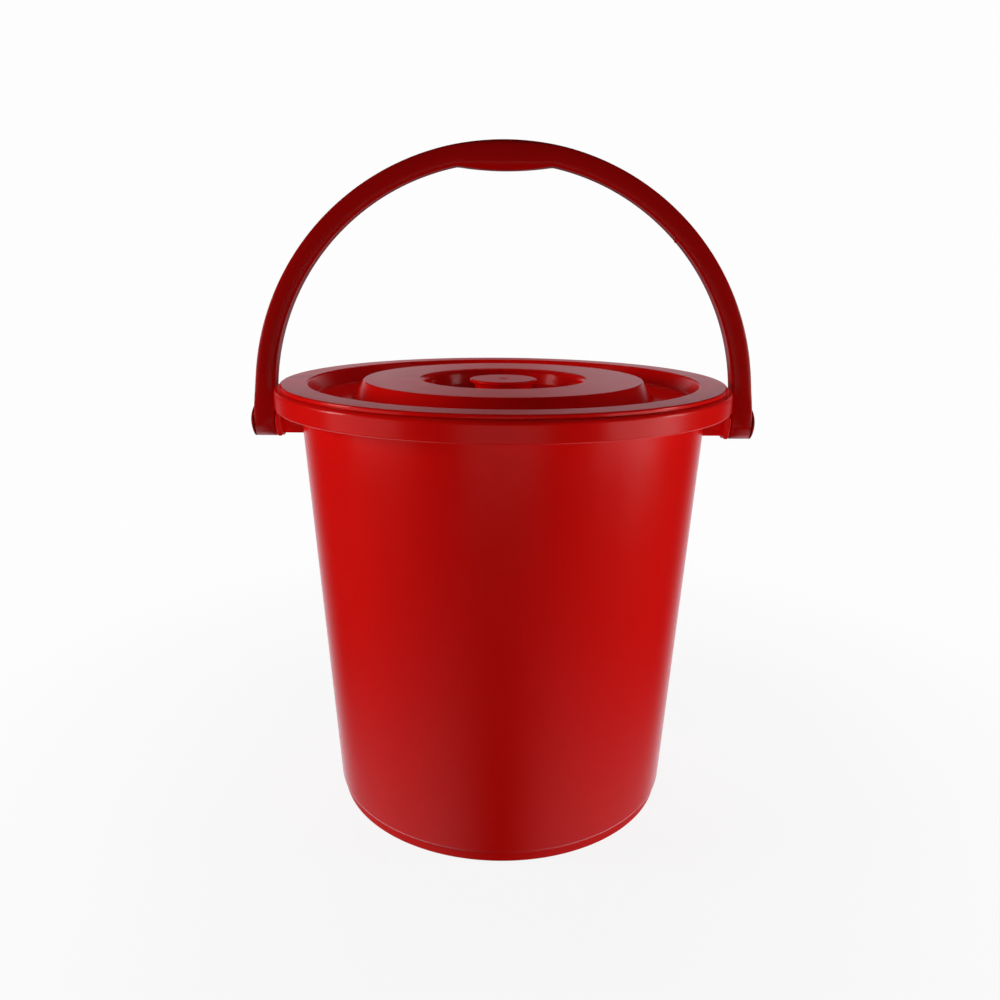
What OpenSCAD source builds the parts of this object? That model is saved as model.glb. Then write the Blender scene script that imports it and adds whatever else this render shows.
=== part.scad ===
// Lidded household pail: a tapered bucket with two pivot ears, a drop-in lid with a
// sunken centre knob, and an arched carrying handle that turns on two snap-in pins.
// Millimetres. The origin is the centre of the foot ring on the floor, +Z is up,
// X runs along the handle's pivot axis and -Y is the front.

/* [Bucket] */
// Outer radius of the wall where it meets the base
base_r = 127.7; // [122:0.1:130]
// Outer radius of the wall just under the rim
mouth_r = 146.9; // [144:0.1:149]
// Height of the rim's top face above the floor
rim_z = 313.5; // [290:0.5:340]
// Outer radius of the rim's skirt
rim_r = 163.9; // [162:0.1:166]
// Depth of the rim's skirt
skirt_h = 13.8; // [10:0.1:18]
// Wall thickness of the bucket
wall = 2.2; // [1.8:0.1:2.8]
// Height of the foot ring that the bucket stands on
foot_h = 7; // [4:0.5:10]

/* [Ears] */
// Height of the pivot axis below the rim's top face
pivot_drop = 28.5; // [26:0.1:30]
// Half width of the tab that hangs from the skirt
ear_tab_half = 22; // [16:0.5:26]
// Half width of the hollow arm behind the tab
ear_arm_half = 12; // [9:0.5:14]
// How far the tab hangs below the skirt
ear_drop = 22.9; // [20:0.1:26]

/* [Lid] */
// Outer radius of the lid's flange
lid_r = 160; // [157:0.1:161]
// Thickness of the lid's flange
flange_t = 2.8; // [2:0.1:3.5]
// Inner radius of the flange, at the top of the trough
trough_r = 142; // [138:0.1:142.5]
// Radius of the raised ring's top edge
plateau_r = 102.1; // [95:0.1:106]
// Radius of the dish around the knob
dish_r = 61.8; // [55:0.1:66]
// Radius of the knob
knob_r = 24.5; // [20:0.1:28]
// Depth of the trough and of the dish below the flange's top face
sink = 12.3; // [10:0.1:14]
// Wall thickness of the lid
lid_wall = 2; // [1.6:0.1:2.4]

/* [Handle] */
// Inner radius of the arch
arch_r = 167.2; // [166.5:0.1:169]
// Thickness of the arch, seen from the front
arch_t = 14; // [10:0.1:15]
// Depth of the arch, seen from the side
arch_d = 16; // [12:0.5:18]
// Height of the arch's centre above the pivot axis
arch_rise = 14; // [10:0.1:16]
// Radius of the round eye at each end
eye_r = 11.6; // [10:0.1:12]
// Half length of the grip
grip_half = 33; // [28:1:45]
// How far the middle of the grip swells below the arch
grip_swell = 6; // [3:0.1:7]

/* [Pins] */
// Radius of the pin's shaft
pin_r = 4.5; // [3.5:0.1:5]
// Radial clearance of the handle on the pin
pin_gap = 0.06; // [0.02:0.01:0.09]
// Height of the pin's domed head
head_h = 3.6; // [2:0.1:4]

/* [Hidden] */
$fn = 96;

// heights
pivot_z = rim_z - pivot_drop;
arch_z = pivot_z + arch_rise;
skirt_z = rim_z - skirt_h;
ear_z = skirt_z - ear_drop;
flange_z = rim_z + flange_t;
sink_z = flange_z - sink;
plateau_z = flange_z + 1.1;
knob_z = flange_z + 0.7;
floor_t = 2.4;

// radii that follow from the driving ones
skirt_t = 2;
foot_r = base_r - 2.3;
foot_t = 2.8;
plug_r = trough_r - 4;
plateau_foot_r = plateau_r + 5.5;
neck_r = knob_r - 4;

// the ears: thickness of the tab, how far the webs stop above its edge, the boss and its hole
ear_tab_t = 3;
arm_lift = 0.8;
boss_r = eye_r - 0.4;
ear_bore_gap = 0.03;

// positions along the pivot axis
eye_in = arch_r;
boss_x = eye_in - 0.5;
eye_out = arch_r + arch_t + 1.3;
head_gap = 0.3;
catch_x = rim_r - ear_tab_t - 0.3;

// Points of an arc about (x, y), from angle a to angle b
function arc(x, y, r, a, b, n = 8) =
    [for (i = [0:n]) let (t = a + (b - a) * i / n) [x + r * cos(t), y + r * sin(t)]];

// Outer radius of the bucket's wall at a height
function wall_r(z) = base_r + (mouth_r - base_r) * (z - foot_h) / (rim_z - wall - foot_h);

// The bucket's section: foot ring, base, tapered wall and turned-down rim
module bucket_section() {
    corner = 3;
    shoulder = 2.8;
    inside = 5;
    under = rim_z - wall;
    polygon(concat(
        arc(foot_r - 1, 1, 1, -90, 0, 4),
        [[foot_r, foot_h]],
        arc(base_r - corner, foot_h + corner, corner, -70, 0, 5),
        [[wall_r(under - 3), under - 3]],
        arc(wall_r(under) + 3, under - 3, 3, 180, 90, 5),
        [[rim_r - skirt_t, under], [rim_r - skirt_t, skirt_z + 0.8]],
        arc(rim_r - 1, skirt_z + 1, 1, -90, 0, 4),
        arc(rim_r - shoulder, rim_z - shoulder, shoulder, 0, 90, 8),
        arc(wall_r(rim_z) - wall + 1.2, rim_z - 1.2, 1.2, 90, 180, 4),
        arc(wall_r(foot_h + floor_t + inside) - wall - inside, foot_h + floor_t + inside, inside, 0, -90, 6),
        [[0, foot_h + floor_t], [0, foot_h], [foot_r - foot_t, foot_h]],
        arc(foot_r - foot_t + 1, 1, 1, 180, 270, 4)
    ));
}

// Solid space between the middle of the wall and the middle of the skirt
module rim_channel() {
    r = rim_r - skirt_t / 2;
    difference() {
        translate([0, 0, ear_z]) cylinder(h = rim_z - wall / 2 - ear_z, r = r);
        translate([0, 0, ear_z - 1])
            cylinder(h = rim_z - ear_z + 2, r1 = wall_r(ear_z - 1) - wall / 2, r2 = wall_r(rim_z + 1) - wall / 2);
    }
}

// One ear on the +X side: a tab hanging from the skirt, two webs and a boss
module ear() {
    web = 2.2;
    tab_angle = asin(ear_tab_half / rim_r);
    rotate([0, 0, -tab_angle]) rotate_extrude(angle = 2 * tab_angle)
        translate([rim_r - ear_tab_t, ear_z]) square([ear_tab_t, ear_drop + 1.5]);
    intersection() {
        rim_channel();
        for (s = [-1, 1])
            translate([base_r, s * (ear_arm_half - web / 2) - web / 2, ear_z + arm_lift])
                cube([rim_r - base_r, web, rim_z - ear_z - arm_lift]);
    }
    translate([rim_r - skirt_t, 0, pivot_z]) rotate([0, 90, 0])
        cylinder(h = boss_x - rim_r + skirt_t, r = boss_r);
}

module bucket() {
    color("firebrick") difference() {
        union() {
            rotate_extrude($fn = 180) bucket_section();
            ear();
            rotate([0, 0, 180]) ear();
        }
        for (s = [0, 180]) rotate([0, 0, s])
            translate([rim_r - skirt_t - 4, 0, pivot_z]) rotate([0, 90, 0])
                cylinder(h = boss_x - rim_r + skirt_t + 8, r = pin_r + ear_bore_gap);
    }
}

// The lid's upper outline, from the centre of the knob to the flange's edge
function lid_top() = concat(
    [[0, knob_z]],
    arc(knob_r - 1.2, knob_z - 1.2, 1.2, 90, -90, 8),
    arc(neck_r + 6, sink_z + 6, 6, 130, 270, 12),
    arc(dish_r - 9, sink_z + 4, 4, -90, -15, 6),
    arc(dish_r, plateau_z - 4, 4, 165, 90, 8),
    arc(plateau_r - 1.5, plateau_z - 1.5, 1.5, 90, 25, 6),
    arc(plateau_foot_r + 4, sink_z + 4, 4, 205, 270, 6),
    arc(plug_r - 3.5, sink_z + 3.5, 3.5, -90, -18, 6),
    arc(trough_r, flange_z - 1.5, 1.5, 162, 90, 6),
    arc(lid_r - 1.2, flange_z - 1.2, 1.2, 90, 0, 5)
);

// The lid's lower outline, from the flange's edge back to the centre
function lid_under() = [
    [lid_r, rim_z],
    [trough_r + lid_wall + 0.4, rim_z],
    [plug_r + lid_wall - 0.2, sink_z + 2.4],
    [plug_r - 1.5, sink_z - lid_wall],
    [plateau_foot_r + 2.4, sink_z - lid_wall],
    [plateau_foot_r - 0.8, sink_z + 2.2],
    [plateau_r - 3.2, plateau_z - lid_wall],
    [dish_r + 0.6, plateau_z - lid_wall],
    [dish_r - 1.7, plateau_z - 4.5],
    [dish_r - 3, sink_z + 3],
    [dish_r - 7.5, sink_z - lid_wall],
    [neck_r - 1.8, sink_z - lid_wall],
    [neck_r - 2.6, knob_z - lid_wall],
    [0, knob_z - lid_wall]
];

module lid() {
    color("firebrick") rotate_extrude($fn = 180) polygon(concat(lid_top(), lid_under()));
}

// The handle's section: a rectangle with rounded corners, centred
module handle_section(t, d, r = 3.4) {
    square([t - 2 * r, d], center = true);
    square([t, d - 2 * r], center = true);
    for (x = [-1, 1], y = [-1, 1]) translate([x * (t / 2 - r), y * (d / 2 - r)]) circle(r = r, $fn = 32);
}

// One straight leg with its round eye, on the +X side
module handle_leg() {
    translate([arch_r + arch_t / 2, 0, pivot_z]) linear_extrude(arch_rise) handle_section(arch_t, arch_d);
    translate([eye_in, 0, pivot_z]) rotate([0, 90, 0]) cylinder(h = eye_out - eye_in, r = eye_r);
}

// The grip's swelling under the arch: its lower side is one shallow arc
module grip() {
    side_z = sqrt(pow(arch_r, 2) - pow(grip_half, 2));
    low_z = arch_r - grip_swell;
    sag = side_z - low_z;
    low_r = (pow(grip_half, 2) + pow(sag, 2)) / (2 * sag);
    half = asin(grip_half / low_r);
    over = arch_r + arch_t / 2;
    half_over = asin(grip_half / over);
    translate([0, arch_d / 2, arch_z]) rotate([90, 0, 0]) linear_extrude(arch_d) polygon(concat(
        arc(0, low_z + low_r, low_r, 270 - half, 270 + half, 12),
        arc(0, 0, over, 90 - half_over, 90 + half_over, 12)
    ));
}

module handle() {
    color("firebrick") difference() {
        union() {
            translate([0, 0, arch_z]) rotate([90, 0, 0]) rotate_extrude(angle = 180, $fn = 180)
                translate([arch_r + arch_t / 2, 0]) handle_section(arch_t, arch_d);
            for (s = [0, 180]) rotate([0, 0, s]) handle_leg();
            grip();
        }
        translate([-eye_out - 5, 0, pivot_z]) rotate([0, 90, 0])
            cylinder(h = 2 * eye_out + 10, r = pin_r + pin_gap);
    }
}

// A snap-in pivot pin on the +X side: domed head, shaft and a slotted catch
module pin() {
    head_x = eye_out + head_gap;
    rim_edge = 0.6;
    cap = head_h - rim_edge;
    dome_r = (pow(eye_r, 2) + pow(cap, 2)) / (2 * cap);
    half = asin(eye_r / dome_r);
    catch_r = pin_r + 0.7;
    tip_x = catch_x - 5;
    translate([0, 0, pivot_z]) difference() {
        rotate([0, 90, 0]) rotate_extrude() polygon(concat(
            [[0, tip_x], [pin_r - 1.2, tip_x], [catch_r, catch_x - 1.2], [catch_r, catch_x],
             [pin_r, catch_x], [pin_r, head_x], [eye_r, head_x]],
            arc(0, head_x + head_h - dome_r, dome_r, 90 - half, 90, 10)
        ));
        translate([tip_x - 1, -0.7, -eye_r]) cube([9, 1.4, 2 * eye_r]);
    }
}

module left_pin() {
    color("firebrick") rotate([0, 0, 180]) pin();
}

module right_pin() {
    color("firebrick") pin();
}

bucket();
lid();
handle();
left_pin();
right_pin();
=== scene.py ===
"""A lidded household pail of glossy moulded plastic: bucket, drop-in lid, arched handle and two pivot pins.

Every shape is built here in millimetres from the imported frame's own boxes and turned into metres at the end.
"""

import math

import bmesh
import bpy
from mathutils import Matrix, Vector


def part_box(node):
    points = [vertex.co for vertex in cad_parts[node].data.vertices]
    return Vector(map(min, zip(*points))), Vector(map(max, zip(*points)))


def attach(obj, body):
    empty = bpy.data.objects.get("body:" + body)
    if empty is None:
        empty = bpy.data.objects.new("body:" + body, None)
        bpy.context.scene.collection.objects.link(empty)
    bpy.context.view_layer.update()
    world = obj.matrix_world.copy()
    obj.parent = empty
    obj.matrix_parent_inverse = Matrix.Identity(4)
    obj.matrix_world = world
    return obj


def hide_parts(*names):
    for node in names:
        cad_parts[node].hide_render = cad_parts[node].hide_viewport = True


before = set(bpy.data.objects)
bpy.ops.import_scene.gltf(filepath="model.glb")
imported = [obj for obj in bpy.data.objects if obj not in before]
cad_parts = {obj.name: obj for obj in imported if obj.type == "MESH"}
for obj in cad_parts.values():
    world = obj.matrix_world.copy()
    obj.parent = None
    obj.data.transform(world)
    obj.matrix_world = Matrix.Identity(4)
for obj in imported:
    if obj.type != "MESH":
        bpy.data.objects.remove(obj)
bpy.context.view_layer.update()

MM = 0.001
SMOOTH_ANGLE = math.radians(32)
ROUND_STEPS = 288
BORE_STEPS = 64

# ---------------------------------------------------------------- sizes, in millimetres


def box_mm(node):
    low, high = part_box(node)
    return low / MM, high / MM


BUCKET_LOW, BUCKET_HIGH = box_mm("bucket")
LID_LOW, LID_HIGH = box_mm("lid")
HANDLE_LOW, HANDLE_HIGH = box_mm("handle")
PIN_LOW, PIN_HIGH = box_mm("right_pin")

RIM_R = BUCKET_HIGH.y
RIM_Z = BUCKET_HIGH.z
BOSS_X = BUCKET_HIGH.x
BASE_R = 127.7
MOUTH_R = 146.9
WALL = 2.2
FOOT_H = 7.0
FOOT_R = BASE_R - 2.3
FOOT_T = 2.8
FLOOR_T = 2.4
SKIRT_T = 2.0
SKIRT_Z = RIM_Z - 13.8
EAR_Z = SKIRT_Z - 22.9
EAR_TAB_HALF = 22.0
EAR_ARM_HALF = 12.0
EAR_WEB = 2.2
EAR_TAB_T = 3.0
TAB_CORNER = 1.2
ARM_LIFT = 0.8

EYE_R = (HANDLE_HIGH.y - HANDLE_LOW.y) / 2
PIVOT_Z = HANDLE_LOW.z + EYE_R
EYE_OUT = HANDLE_HIGH.x
ARCH_T = 14.0
ARCH_R = EYE_OUT - 1.3 - ARCH_T
ARCH_Z = HANDLE_HIGH.z - ARCH_R - ARCH_T
ARCH_HALF = 8.0
GRIP_HALF = 33.0
GRIP_SWELL = 6.0
CROWN = 0.9
ARCH_CORNER = 1.9
EYE_CORNER = 1.4
BOSS_R = EYE_R - 0.4

PIN_R = 4.5
PIN_GAP = 0.06
EAR_BORE_GAP = 0.03
GATE_R = 3.0

FLANGE_Z = LID_HIGH.z - 1.1
PLATEAU_Z = LID_HIGH.z
KNOB_Z = FLANGE_Z + 0.7
SINK_Z = FLANGE_Z - 12.3
LID_R = LID_HIGH.y
TROUGH_R = 142.0
PLUG_R = TROUGH_R - 4
PLATEAU_R = 102.1
PLATEAU_FOOT_R = PLATEAU_R + 5.5
DISH_R = 61.8
KNOB_R = 24.5
NECK_R = KNOB_R - 4
LID_WALL = 2.0

# ---------------------------------------------------------------- outlines


def arc(x, z, r, start, end, steps):
    """Points of an arc about (x, z), from angle start to angle end, in degrees."""
    turns = [math.radians(start + (end - start) * i / steps) for i in range(steps + 1)]
    return [(x + r * math.cos(t), z + r * math.sin(t)) for t in turns]


def held(points, reach=0.35, shortest=2.0):
    """The outline with a point close to each end of every long straight stretch, to keep its shading flat."""
    out = []
    for a, b in zip(points, points[1:] + points[:1]):
        out.append(a)
        length = math.dist(a, b)
        if length > shortest:
            for share in (reach / length, 1 - reach / length):
                out.append((a[0] + (b[0] - a[0]) * share, a[1] + (b[1] - a[1]) * share))
    return out


def smoothstep(t):
    t = min(1.0, max(0.0, t))
    return t * t * (3 - 2 * t)


# ---------------------------------------------------------------- mesh helpers


def finish_mesh(name, bm, merge=0.0005):
    """Turns a bmesh in millimetres into a smooth-shaded object in metres."""
    bmesh.ops.remove_doubles(bm, verts=bm.verts, dist=merge)
    bmesh.ops.dissolve_degenerate(bm, edges=bm.edges, dist=merge)
    bmesh.ops.recalc_face_normals(bm, faces=bm.faces)
    bmesh.ops.scale(bm, vec=(MM, MM, MM), verts=bm.verts)
    mesh = bpy.data.meshes.new(name)
    bm.to_mesh(mesh)
    bm.free()
    obj = bpy.data.objects.new(name, mesh)
    bpy.context.scene.collection.objects.link(obj)
    shade(obj)
    return obj


def shade(obj):
    for face in obj.data.polygons:
        face.use_smooth = True
    obj.data.set_sharp_from_angle(angle=SMOOTH_ANGLE)


def lathe(name, outline, turns, move=None):
    """Turns a closed outline of (radius, height) about Z.

    move(radius, height, turn) gives a point's new radius and height.
    """
    bm = bmesh.new()
    columns = []
    for turn in turns:
        cos, sin = math.cos(turn), math.sin(turn)
        column = []
        for r, z in outline:
            if move:
                r, z = move(r, z, turn)
            column.append(bm.verts.new((r * cos, r * sin, z)))
        columns.append(column)
    for left, right in zip(columns, columns[1:] + columns[:1]):
        for i in range(len(outline)):
            j = (i + 1) % len(outline)
            if outline[i][0] > 0 or outline[j][0] > 0:
                bm.faces.new((left[i], right[i], right[j], left[j]))
    return finish_mesh(name, bm)


def even_turns(count):
    return [2 * math.pi * i / count for i in range(count)]


def block(name, corners):
    """A closed six-sided block from its four lower corners and its four upper corners."""
    bm = bmesh.new()
    v = [bm.verts.new(c) for c in corners]
    for ring in ((3, 2, 1, 0), (4, 5, 6, 7), (0, 1, 5, 4), (1, 2, 6, 5), (2, 3, 7, 6), (3, 0, 4, 7)):
        bm.faces.new([v[i] for i in ring])
    return finish_mesh(name, bm)


def combine(target, tool, operation):
    """Joins tool to target, or cuts it away, and removes tool."""
    step = target.modifiers.new("combine", "BOOLEAN")
    step.operation = operation
    step.solver = "EXACT"
    step.object = tool
    depsgraph = bpy.context.evaluated_depsgraph_get()
    mesh = bpy.data.meshes.new_from_object(target.evaluated_get(depsgraph))
    target.modifiers.clear()
    old = target.data
    target.data = mesh
    mesh.name = target.name
    bpy.data.meshes.remove(old)
    bpy.data.objects.remove(tool)
    shade(target)


def along_x(obj, x, z):
    """Lays a lathed piece along +X, with its own axis at height z and its zero at x, both in millimetres."""
    obj.data.transform(Matrix.Translation((x * MM, 0, z * MM)) @ Matrix.Rotation(math.radians(90), 4, "Y"))


def make_bore(radius, start, length):
    """A rod along +X at the pivots' height, to cut a pin's hole with."""
    bore = lathe("bore", [(0, 0), (radius, 0), (radius, length), (0, length)], even_turns(BORE_STEPS))
    along_x(bore, start, PIVOT_Z)
    return bore


def turned_half(obj):
    obj.data.transform(Matrix.Rotation(math.pi, 4, "Z"))


# ---------------------------------------------------------------- bucket


def wall_r(z):
    return BASE_R + (MOUTH_R - BASE_R) * (z - FOOT_H) / (RIM_Z - WALL - FOOT_H)


def bucket_outline():
    under = RIM_Z - WALL
    corner = 3.0
    inside = 5.0
    inner_z = FOOT_H + FLOOR_T + inside
    return held(
        arc(FOOT_R - 1, 1, 1, -90, 0, 6)
        + arc(FOOT_R + 0.3, FOOT_H - 0.3, 0.3, 180, 90, 3)
        + arc(BASE_R - corner, FOOT_H + corner, corner, -70, 0, 8)
        + [(wall_r(under - 3), under - 3)]
        + arc(wall_r(under) + 3, under - 3, 3, 175, 90, 7)
        + arc(RIM_R - SKIRT_T - 1, under - 1, 1, 90, 0, 4)
        + arc(RIM_R - SKIRT_T + 0.6, SKIRT_Z + 0.6, 0.6, 180, 270, 4)
        + arc(RIM_R - 1, SKIRT_Z + 1, 1, -90, 0, 6)
        + arc(RIM_R - 2.8, RIM_Z - 2.8, 2.8, 0, 90, 12)
        + arc(wall_r(RIM_Z) - WALL + 1.2, RIM_Z - 1.2, 1.2, 90, 180, 6)
        + arc(wall_r(inner_z) - WALL - inside, inner_z, inside, 0, -90, 10)
        + [(0, FOOT_H + FLOOR_T), (0, FOOT_H - 0.8), (GATE_R - 0.4, FOOT_H - 0.8), (GATE_R, FOOT_H)]
        + [(FOOT_R - FOOT_T - 1, FOOT_H)]
        + arc(FOOT_R - FOOT_T + 1, 1, 1, 180, 270, 6)
    )


def tab_depth(turn):
    """How far the skirt hangs down at this turn: the two ear tabs, with rounded lower corners."""
    corner = TAB_CORNER
    half = math.asin(EAR_TAB_HALF / RIM_R) * RIM_R
    along = min(abs(turn - side) for side in (0, math.pi, 2 * math.pi)) * RIM_R
    inset = half - along
    depth = SKIRT_Z - EAR_Z
    if inset < 0:
        return 0.0
    if inset > corner:
        return depth
    return depth - corner + math.sqrt(max(0.0, corner**2 - (corner - inset) ** 2))


def bucket_turns():
    """Even steps round the bucket, with close ones at the ear tabs' ends and corners."""
    half = math.asin(EAR_TAB_HALF / RIM_R)
    corner = TAB_CORNER / RIM_R
    round_corner = [corner * (1 - math.cos(math.radians(a))) for a in range(0, 91, 10)]
    just_outside, just_inside, least_gap = 0.0002, 0.0001, 0.004
    close = []
    for side in (0, math.pi, 2 * math.pi):
        for end in (-1, 1):
            edge = side + end * half
            close.append(edge + end * just_outside)
            close += [edge - end * (just_inside + step) for step in round_corner]
    close = [t for t in close if 0 <= t < 2 * math.pi]
    even = [t for t in even_turns(ROUND_STEPS) if all(abs(t - c) > least_gap for c in close)]
    return sorted(even + close)


def hang_tab(r, z, turn):
    """Draws the skirt's lower edge down to make the tab, and its inner side inwards to make it thicker."""
    depth = tab_depth(turn)
    if not depth or r < RIM_R - SKIRT_T - 0.1 or z > SKIRT_Z + 1.05:
        return r, z
    thicker = EAR_TAB_T - SKIRT_T if r < RIM_R - SKIRT_T + 0.7 else 0.0
    return r - thicker, z - depth


def make_bucket():
    bucket = lathe("bucket_shell", bucket_outline(), bucket_turns(), hang_tab)
    for left in (False, True):
        for piece in (make_ear_web(-1), make_ear_web(1), make_ear_boss()):
            if left:
                turned_half(piece)
            combine(bucket, piece, "UNION")
        bore = make_bore(PIN_R + EAR_BORE_GAP, RIM_R - SKIRT_T - 8, 20)
        if left:
            turned_half(bore)
        combine(bucket, bore, "DIFFERENCE")
    return bucket


def make_ear_web(end):
    """One web of the hollow arm between the wall and the tab, ending inside both."""
    top = RIM_Z - WALL / 2
    outer = RIM_R - SKIRT_T / 2 - 0.4
    y_out = end * EAR_ARM_HALF
    y_in = end * (EAR_ARM_HALF - EAR_WEB)
    corners = []
    for z in (EAR_Z + ARM_LIFT, top):
        inner = wall_r(z) - WALL / 2 - 0.3
        corners += [(inner, y_in, z), (outer, y_in, z), (outer, y_out, z), (inner, y_out, z)]
    return block("web", corners)


def make_ear_boss():
    length = BOSS_X - RIM_R + SKIRT_T / 2
    outline = [(0, 0), (BOSS_R, 0)] + arc(BOSS_R - 0.6, length - 0.6, 0.6, 0, 90, 5) + [(0, length)]
    boss = lathe("boss", held(outline), even_turns(72))
    along_x(boss, RIM_R - SKIRT_T / 2, PIVOT_Z)
    return boss


# ---------------------------------------------------------------- lid


def lid_outline():
    gate = [(0, KNOB_Z - 0.1), (0.9, KNOB_Z - 0.1), (1.3, KNOB_Z - 0.55), (GATE_R - 0.5, KNOB_Z - 0.55)]
    top = (
        gate
        + arc(GATE_R + 0.5, KNOB_Z - 0.5, 0.5, 180, 90, 4)
        + arc(KNOB_R - 1.2, KNOB_Z - 1.2, 1.2, 90, -90, 12)
        + arc(NECK_R + 6, SINK_Z + 6, 6, 130, 270, 20)
        + arc(DISH_R - 9, SINK_Z + 4, 4, -90, -15, 9)
        + arc(DISH_R, PLATEAU_Z - 4, 4, 165, 90, 12)
        + arc(PLATEAU_R - 1.5, PLATEAU_Z - 1.5, 1.5, 90, 25, 7)
        + arc(PLATEAU_FOOT_R + 4, SINK_Z + 4, 4, 205, 270, 9)
        + arc(PLUG_R - 3.5, SINK_Z + 3.5, 3.5, -90, -18, 9)
        + arc(TROUGH_R, FLANGE_Z - 1.5, 1.5, 162, 90, 7)
        + arc(LID_R - 1.2, FLANGE_Z - 1.2, 1.2, 90, 0, 7)
    )
    under = [
        (LID_R, RIM_Z + 0.4),
        (LID_R - 0.4, RIM_Z),
        (TROUGH_R + LID_WALL + 0.4, RIM_Z),
        (PLUG_R + LID_WALL - 0.2, SINK_Z + 2.4),
        (PLUG_R + LID_WALL - 1.2, SINK_Z - LID_WALL + 1.2),
        (PLUG_R - 1.5, SINK_Z - LID_WALL),
        (PLATEAU_FOOT_R + 2.4, SINK_Z - LID_WALL),
        (PLATEAU_FOOT_R - 0.8, SINK_Z + 2.2),
        (PLATEAU_R - 3.2, PLATEAU_Z - LID_WALL),
        (DISH_R + 0.6, PLATEAU_Z - LID_WALL),
        (DISH_R - 1.7, PLATEAU_Z - 4.5),
        (DISH_R - 3, SINK_Z + 3),
        (DISH_R - 7.5, SINK_Z - LID_WALL),
        (NECK_R - 1.8, SINK_Z - LID_WALL),
        (NECK_R - 2.6, KNOB_Z - LID_WALL),
        (0, KNOB_Z - LID_WALL),
    ]
    return held(top + under)


def make_lid():
    return lathe("lid_moulding", lid_outline(), even_turns(ROUND_STEPS))


# ---------------------------------------------------------------- handle


def grip_low(turn):
    """The arch's inner radius at this turn, where the grip's shallow underside hangs below the arch."""
    side_z = math.sqrt(ARCH_R**2 - GRIP_HALF**2)
    low_z = ARCH_R - GRIP_SWELL
    sag = side_z - low_z
    low_r = (GRIP_HALF**2 + sag**2) / (2 * sag)
    radius = ARCH_R
    for _ in range(4):
        x = radius * math.cos(turn)
        if abs(x) >= GRIP_HALF:
            return ARCH_R
        radius = (low_z + low_r - math.sqrt(low_r**2 - x**2)) / math.sin(turn)
    return min(radius, ARCH_R)


def handle_stations():
    """Places along the handle, from the right eye's lowest point over the arch to the left eye's.

    Each is (origin, outward direction, inner radius, outer radius, half depth, corner radius,
    depth below the pivot).
    """
    flare, widen = 34.0, 26.0
    stations = []

    def leg(side, drop):
        z = PIVOT_Z - drop
        over = max(0.0, -drop)
        outer = ARCH_R + ARCH_T + (EYE_OUT - ARCH_R - ARCH_T) * smoothstep(1 - over / flare)
        half = ARCH_HALF + (EYE_R - ARCH_HALF) * smoothstep(1 - over / widen)
        corner = ARCH_CORNER + (EYE_CORNER - ARCH_CORNER) * smoothstep(1 - over / widen)
        return Vector((0, 0, z)), Vector((side, 0, 0)), ARCH_R, outer, half, corner, max(0.0, drop)

    round_end = [EYE_R * math.sin(math.radians(a)) for a in range(90, 0, -6)]
    straight = [-(ARCH_Z - PIVOT_Z) * i / 12 for i in range(12)]
    for drop in round_end + straight:
        stations.append(leg(1, drop))
    steps = 216
    for i in range(steps + 1):
        turn = math.pi * i / steps
        rise = min(turn, math.pi - turn) * ARCH_R + ARCH_Z - PIVOT_Z
        grip = smoothstep(1.25 - abs(turn - math.pi / 2) * ARCH_R / GRIP_HALF)
        outer = ARCH_R + ARCH_T + (EYE_OUT - ARCH_R - ARCH_T) * smoothstep(1 - rise / flare)
        half = ARCH_HALF + (EYE_R - ARCH_HALF) * smoothstep(1 - rise / widen) + 0.9 * grip
        corner = ARCH_CORNER + (EYE_CORNER - ARCH_CORNER) * smoothstep(1 - rise / widen) + 3.4 * grip
        out = Vector((math.cos(turn), 0, math.sin(turn)))
        stations.append((Vector((0, 0, ARCH_Z)), out, grip_low(turn), outer, half, corner, 0.0))
    for drop in reversed(round_end + straight):
        stations.append(leg(-1, drop))
    return stations


def corner_rows(corner, half, below, steps=6):
    """A rounded corner as (distance in from the side, distance back from the face).

    It is cut short near the eye's end.
    """
    share = min(1.0, (half - below) / corner) if below else 1.0
    first = math.asin(max(0.0, 1 - share))
    turns = [first + (math.pi / 2 - first) * i / steps for i in range(steps + 1)]
    return [(corner * (1 - math.cos(t)), corner * (1 - math.sin(t))) for t in turns]


def handle_ring(station):
    """The ring of points round the handle at one station: front side outwards, then the back side inwards.

    Both sides are crowned, so their middle stands CROWN proud of their edges.
    """
    origin, out, inner, outer, half, corner, below = station
    face_steps = 10
    sharp = corner * 0.6
    width = outer - inner
    spots = corner_rows(corner, half, below)
    for i in range(1, face_steps):
        spots.append((corner + (width - corner - sharp) * i / face_steps, 0.0))
    spots += [(width - dx, e) for dx, e in reversed(corner_rows(sharp, half, below))]
    front = []
    for dx, e in spots:
        across = 2 * dx / width - 1
        fall = CROWN * across**2 * min(1.0, max(0.0, 1 - below / half) * 3)
        reach = math.sqrt(max(0.0, (half - e) ** 2 - below**2)) if below else half - e
        front.append((inner + dx, max(0.0, reach - fall)))
    ring = [origin + out * r + Vector((0, -y, 0)) for r, y in front]
    ring += [origin + out * front[-1][0] + Vector((0, s * front[-1][1], 0)) for s in (-0.9, 0, 0.9)]
    ring += [origin + out * r + Vector((0, y, 0)) for r, y in reversed(front)]
    ring += [origin + out * front[0][0] + Vector((0, s * front[0][1], 0)) for s in (0.9, 0, -0.9)]
    return ring


def make_handle():
    bm = bmesh.new()
    rings = [[bm.verts.new(p) for p in handle_ring(s)] for s in handle_stations()]
    for low, high in zip(rings, rings[1:]):
        for i in range(len(low)):
            j = (i + 1) % len(low)
            bm.faces.new((low[i], low[j], high[j], high[i]))
    handle = finish_mesh("handle_arch", bm, merge=0.002)
    length = 2 * EYE_OUT + 10
    combine(handle, make_bore(PIN_R + PIN_GAP, -length / 2, length), "DIFFERENCE")
    combine(handle, make_vestige(), "UNION")
    return handle


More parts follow.
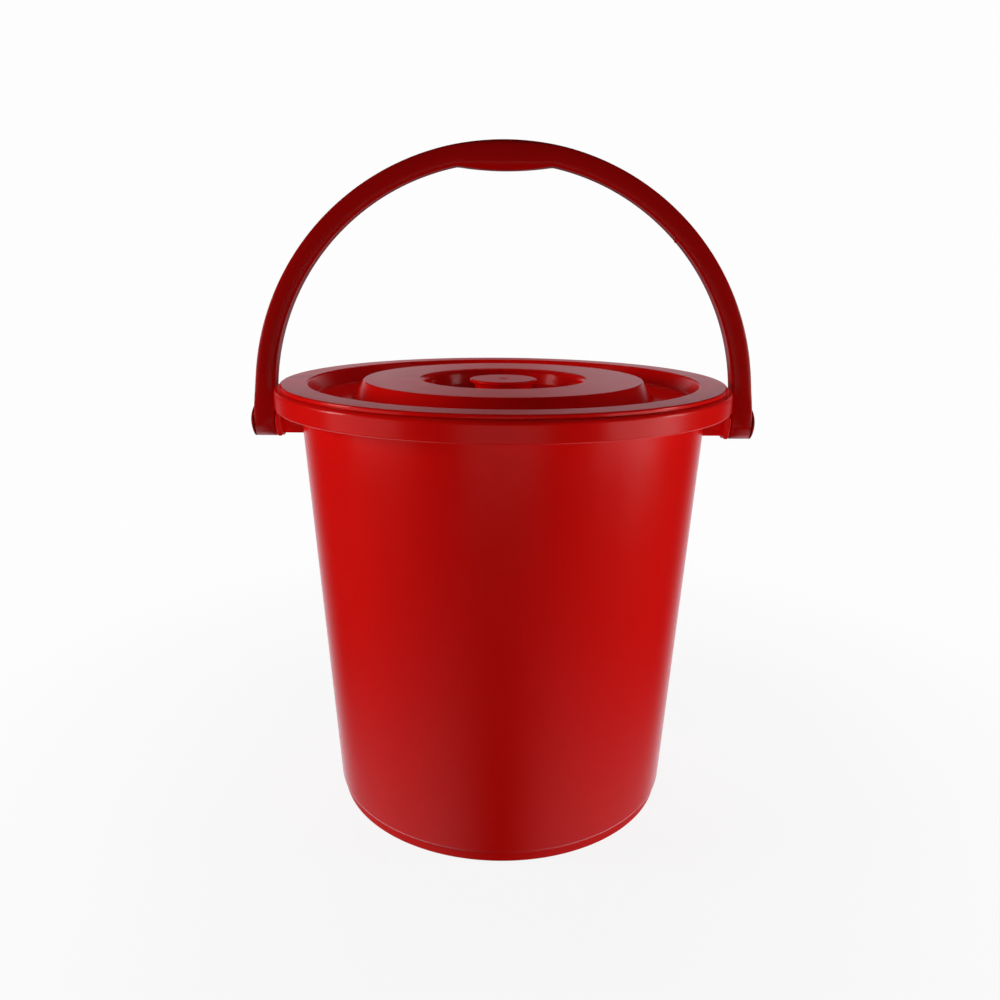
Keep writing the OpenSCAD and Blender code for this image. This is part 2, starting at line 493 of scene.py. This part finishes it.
def make_vestige():
    """The small nub that the mould's gate left on the arch's inner side."""
    turn = math.radians(43.8)
    bm = bmesh.new()
    bmesh.ops.create_uvsphere(bm, u_segments=16, v_segments=12, radius=1.9)
    centre = Vector((math.cos(turn), 0, math.sin(turn))) * (ARCH_R + 0.3) + Vector((0, -2.5, ARCH_Z))
    bmesh.ops.translate(bm, verts=bm.verts, vec=centre)
    return finish_mesh("vestige", bm)


# ---------------------------------------------------------------- pins


def make_pin(name, left):
    head_x = EYE_OUT + 0.3
    top_x = PIN_HIGH.x
    edge = 0.6
    cap = top_x - head_x - edge
    dome_r = (EYE_R**2 + cap**2) / (2 * cap)
    half = math.degrees(math.asin(EYE_R / dome_r))
    tip_x = PIN_LOW.x
    catch_x = tip_x + 5
    catch_r = PIN_R + 0.7
    outline = [(0, tip_x), (PIN_R - 1.2, tip_x), (catch_r, catch_x - 1.2), (catch_r, catch_x)]
    outline += [(PIN_R, catch_x), (PIN_R, head_x)]
    outline += [(EYE_R - 0.3, head_x), (EYE_R, head_x + 0.3)]
    outline += arc(0, head_x + edge + cap - dome_r, dome_r, 90 - half, 90, 16)
    outline[-1] = (0, top_x)
    pin = lathe(name, held(outline), even_turns(96))
    along_x(pin, 0, PIVOT_Z)
    start, end, slot_half = tip_x - 1, tip_x + 8, 0.7
    slot_plan = ((start, -slot_half), (end, -slot_half), (end, slot_half), (start, slot_half))
    slot = block("slot", [(x, y, z) for z in (PIVOT_Z - EYE_R, PIVOT_Z + EYE_R) for x, y in slot_plan])
    combine(pin, slot, "DIFFERENCE")
    if left:
        turned_half(pin)
    return pin


# ---------------------------------------------------------------- materials


class Nodes:
    """A short way to build a node tree."""

    def __init__(self, material):
        material.use_nodes = True
        self.tree = material.node_tree
        self.tree.nodes.clear()

    def add(self, kind, settings=None, **inputs):
        node = self.tree.nodes.new(kind)
        for key, value in (settings or {}).items():
            setattr(node, key, value)
        for key, value in inputs.items():
            self.set(node, key.replace("_", " "), value)
        return node

    def set(self, node, key, value):
        socket = node.inputs[int(key) if key.isdigit() else key]
        if isinstance(value, bpy.types.NodeSocket):
            self.tree.links.new(value, socket)
        else:
            socket.default_value = value

    def noise(self, vector, scale, detail=2.0, rough=0.5):
        node = self.add("ShaderNodeTexNoise", Vector=vector, Scale=scale, Detail=detail, Roughness=rough)
        return node.outputs["Fac"]

    def ramp(self, value, low, high, to_low=0.0, to_high=1.0):
        node = self.add("ShaderNodeMapRange", {"interpolation_type": "SMOOTHSTEP"}, Value=value)
        for key, number in (("From Min", low), ("From Max", high), ("To Min", to_low), ("To Max", to_high)):
            node.inputs[key].default_value = number
        return node.outputs["Result"]

    def math(self, operation, a, b):
        node = self.tree.nodes.new("ShaderNodeMath")
        node.operation = operation
        self.set(node, "0", a)
        self.set(node, "1", b)
        return node.outputs[0]

    def mix(self, factor, a, b, blend="MIX"):
        node = self.tree.nodes.new("ShaderNodeMix")
        node.data_type = "RGBA"
        node.blend_type = blend
        self.set(node, "0", factor)
        self.set(node, "6", a)
        self.set(node, "7", b)
        return node.outputs[2]

    def mix_shader(self, factor, a, b):
        node = self.tree.nodes.new("ShaderNodeMixShader")
        for key, value in (("0", factor), ("1", a), ("2", b)):
            self.set(node, key, value)
        return node.outputs[0]


def plastic(name, color, roughness, grain=0.05, scuffs=0.5):
    """Injection-moulded polypropylene.

    It has flow marks in the colour, handling scuffs in the gloss, pale rubbed edges and a faint moulded skin.
    """
    material = bpy.data.materials.new(name)
    n = Nodes(material)
    where = n.add("ShaderNodeTexCoord").outputs["Object"]
    tall = n.add("ShaderNodeMapping", Vector=where, Scale=(1, 1, 0.22)).outputs[0]
    flat = n.add("ShaderNodeMapping", Vector=where, Scale=(1, 1, 14)).outputs[0]

    flow = n.noise(tall, 9, 3, 0.5)
    mottle = n.noise(where, 60, 3, 0.55)
    rich = (color[0], color[1], color[2], 1)
    deep = (color[0] * 0.94, color[1] * 0.9, color[2] * 0.9, 1)
    tint = n.mix(n.ramp(flow, 0.3, 0.7), deep, rich)
    rubbed = (min(1, color[0] + 0.03), color[1] + 0.02, color[2] + 0.02, 1)
    edge = n.add("ShaderNodeNewGeometry").outputs["Pointiness"]
    worn = n.math("MULTIPLY", n.ramp(edge, 0.53, 0.6), n.ramp(n.noise(where, 160, 4, 0.65), 0.48, 0.66))
    tint = n.mix(n.math("MULTIPLY", worn, 0.25), tint, rubbed)

    scratch = n.ramp(n.noise(flat, 38, 6, 0.7), 0.6, 0.72)
    patch = n.ramp(n.noise(where, 9, 3, 0.5), 0.45, 0.68)
    scuffed = n.math("MULTIPLY", scratch, patch)
    gloss = n.ramp(mottle, 0.3, 0.75, roughness * 0.93, roughness * 1.07)
    gloss = n.math("ADD", gloss, n.math("MULTIPLY", scuffed, 0.08 * scuffs))
    gloss = n.math("ADD", gloss, n.math("MULTIPLY", worn, 0.08))

    skin = n.noise(where, 1400, 2, 0.5)
    ripple = n.noise(where, 60, 2, 0.4)
    height = n.math("ADD", n.math("MULTIPLY", skin, grain), n.math("MULTIPLY", ripple, 0.6))
    height = n.math("SUBTRACT", height, n.math("MULTIPLY", scuffed, 0.05 * scuffs))
    bump = n.add("ShaderNodeBump", Strength=0.2, Distance=0.0002, Height=height)

    shader = n.add("ShaderNodeBsdfPrincipled", Roughness=gloss, Normal=bump.outputs[0])
    n.set(shader, "Base Color", tint)
    shader.inputs["IOR"].default_value = 1.49
    shader.inputs["Specular IOR Level"].default_value = 0.34
    out = n.add("ShaderNodeOutputMaterial")
    n.tree.links.new(shader.outputs[0], out.inputs["Surface"])
    return material


def dress(obj, material, node, body):
    obj.data.materials.clear()
    obj.data.materials.append(material)
    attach(obj, body)
    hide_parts(node)


# ---------------------------------------------------------------- stage, lights and camera

KEY = 4.0
BACKDROP = 0.5
ROOM = 0.02
WHITE = 0.985
AIM_Z = 0.25


def make_floor():
    """A plain pale floor, wide enough to fill every view, that fades into the white backdrop."""
    bm = bmesh.new()
    bmesh.ops.create_circle(bm, cap_ends=True, segments=96, radius=12)
    mesh = bpy.data.meshes.new("floor")
    bm.to_mesh(mesh)
    bm.free()
    floor = bpy.data.objects.new("floor", mesh)
    bpy.context.scene.collection.objects.link(floor)
    floor.location.z = -0.0003
    material = bpy.data.materials.new("floor_paper")
    n = Nodes(material)
    where = n.add("ShaderNodeTexCoord").outputs["Object"]
    away = n.add("ShaderNodeVectorMath", {"operation": "LENGTH"}, Vector=where).outputs["Value"]
    paper = n.add("ShaderNodeBsdfDiffuse", Color=(0.9, 0.9, 0.9, 1)).outputs[0]
    white = n.add("ShaderNodeEmission", Color=(1, 1, 1, 1), Strength=WHITE).outputs[0]
    dim = n.add("ShaderNodeBsdfDiffuse", Color=(0.4, 0.4, 0.4, 1)).outputs[0]
    seen = n.add("ShaderNodeLightPath").outputs["Is Camera Ray"]
    pale = n.mix_shader(n.ramp(away, 0.15, 0.7, 0.9, 1.0), paper, white)
    out = n.add("ShaderNodeOutputMaterial")
    n.tree.links.new(n.mix_shader(seen, dim, pale), out.inputs["Surface"])
    mesh.materials.append(material)
    floor.visible_glossy = False


def make_world():
    """A white studio to the camera.

    Reflections see a low backdrop behind the object, pale paper below it and an almost dark room elsewhere.
    """
    world = bpy.data.worlds.new("studio")
    bpy.context.scene.world = world
    n = Nodes(world)
    way = n.add("ShaderNodeTexCoord").outputs["Generated"]
    x, y, z = n.add("ShaderNodeSeparateXYZ", Vector=way).outputs
    off = n.math("ABSOLUTE", x, 0.0)
    horizon = n.math("MULTIPLY", n.ramp(z, 0.13, 0.2, 1, 0), n.ramp(z, -0.04, 0.04, 0.2, 1))
    high = n.math("MULTIPLY", horizon, n.ramp(off, 0, 0.15, BACKDROP / 2, BACKDROP))
    low = n.math("MULTIPLY", n.ramp(z, -0.2, -0.12, 1.5 * BACKDROP, 0), n.ramp(off, 0.15, 0.3))
    back = n.math("MULTIPLY", n.ramp(y, 0, 0.1), n.ramp(off, 0.3, 0.75, 1, 0))
    glow = n.math("MULTIPLY", back, n.math("ADD", high, low))
    paper = n.math("MULTIPLY", n.ramp(z, -0.85, -0.45, 1, 0), n.ramp(off, 0, 0.6))
    glow = n.math("ADD", n.math("ADD", glow, paper), ROOM)
    studio = n.add("ShaderNodeBackground", Color=(0.97, 0.92, 1.0, 1), Strength=glow).outputs[0]
    white = n.add("ShaderNodeBackground", Color=(1, 1, 1, 1), Strength=WHITE).outputs[0]
    seen = n.add("ShaderNodeLightPath").outputs["Is Camera Ray"]
    out = n.add("ShaderNodeOutputWorld")
    n.tree.links.new(n.mix_shader(seen, studio, white), out.inputs["Surface"])


def make_light(name, azimuth, height, distance, size, watts, mirrored=True):
    """A soft rectangular light. Azimuth 0 is the front, and positive turns towards +X.

    One that isn't mirrored only fills: it stands for light that the walls and the paper send back.
    """
    a = math.radians(azimuth)
    spot = Vector((math.sin(a) * distance, -math.cos(a) * distance, height))
    data = bpy.data.lights.new(name, "AREA")
    data.shape = "RECTANGLE"
    data.size, data.size_y = size
    data.energy = watts
    light = bpy.data.objects.new(name, data)
    light.location = spot
    light.rotation_euler = (spot - Vector((0, 0, AIM_Z))).to_track_quat("Z", "Y").to_euler()
    light.visible_camera = False
    light.visible_glossy = mirrored
    bpy.context.scene.collection.objects.link(light)


def make_camera():
    """The photograph's view: just in front, a little above the rim, looking 15 degrees down."""
    pitch, roll = math.radians(14.918), math.radians(0.45)
    back = Vector((0, -math.cos(pitch), math.sin(pitch)))
    right = Vector((1, 0, 0))
    up = back.cross(right)
    right, up = math.cos(roll) * right + math.sin(roll) * up, math.cos(roll) * up - math.sin(roll) * right
    data = bpy.data.cameras.new("camera")
    data.sensor_width = 36
    data.lens = 31.45
    data.clip_end = 100
    camera = bpy.data.objects.new("camera", data)
    place = Vector((-0.0017, -0.6431, 0.3958))
    camera.matrix_world = Matrix.Translation(place) @ Matrix((right, up, back)).transposed().to_4x4()
    bpy.context.scene.collection.objects.link(camera)
    bpy.context.scene.camera = camera


make_camera()
make_world()
make_floor()
make_light("left_softbox", -65, 0.22, 1.0, (0.7, 0.4), KEY / 8)
make_light("right_softbox", 65, 0.22, 1.0, (0.7, 0.4), KEY / 4)
make_light("left_strip", -80, 0.45, 0.9, (0.15, 0.3), KEY / 4)
make_light("right_strip", 80, 0.45, 0.9, (0.15, 0.3), KEY / 4)
make_light("left_fill", -80, 0.45, 0.9, (0.4, 0.3), KEY * 3 / 4, mirrored=False)
make_light("right_fill", 80, 0.15, 0.9, (0.4, 0.3), KEY / 2, mirrored=False)
make_light("front_fill", 0, 0.1, 0.9, (0.6, 0.3), KEY / 3, mirrored=False)
make_light("top_fill", 180, 1.0, 0.7, (0.8, 0.5), KEY, mirrored=False)
bpy.context.scene.view_settings.view_transform = "Standard"

RED = (0.9, 0.0035, 0.0015)
# A darker copy of the bucket's red, not a different plastic: painted shade standing in for the dimmer light
# that falls on the handle. The pins share it.
SHADED_RED = (0.45, 0.0025, 0.0015)
bucket_red = plastic("bucket_red", RED, 0.21)
lid_red = plastic("lid_red", RED, 0.19, scuffs=0.8)
# The handle and the pins take the darker copy of the red, which is painted shade.
shaded_handle_red = plastic("shaded_handle_red", SHADED_RED, 0.21, grain=0.08)

dress(make_bucket(), bucket_red, "bucket", "bucket_body")
dress(make_lid(), lid_red, "lid", "lid_body")
dress(make_handle(), shaded_handle_red, "handle", "handle_body")
dress(make_pin("left_pivot_pin", True), shaded_handle_red, "left_pin", "bucket_body")
dress(make_pin("right_pivot_pin", False), shaded_handle_red, "right_pin", "bucket_body")
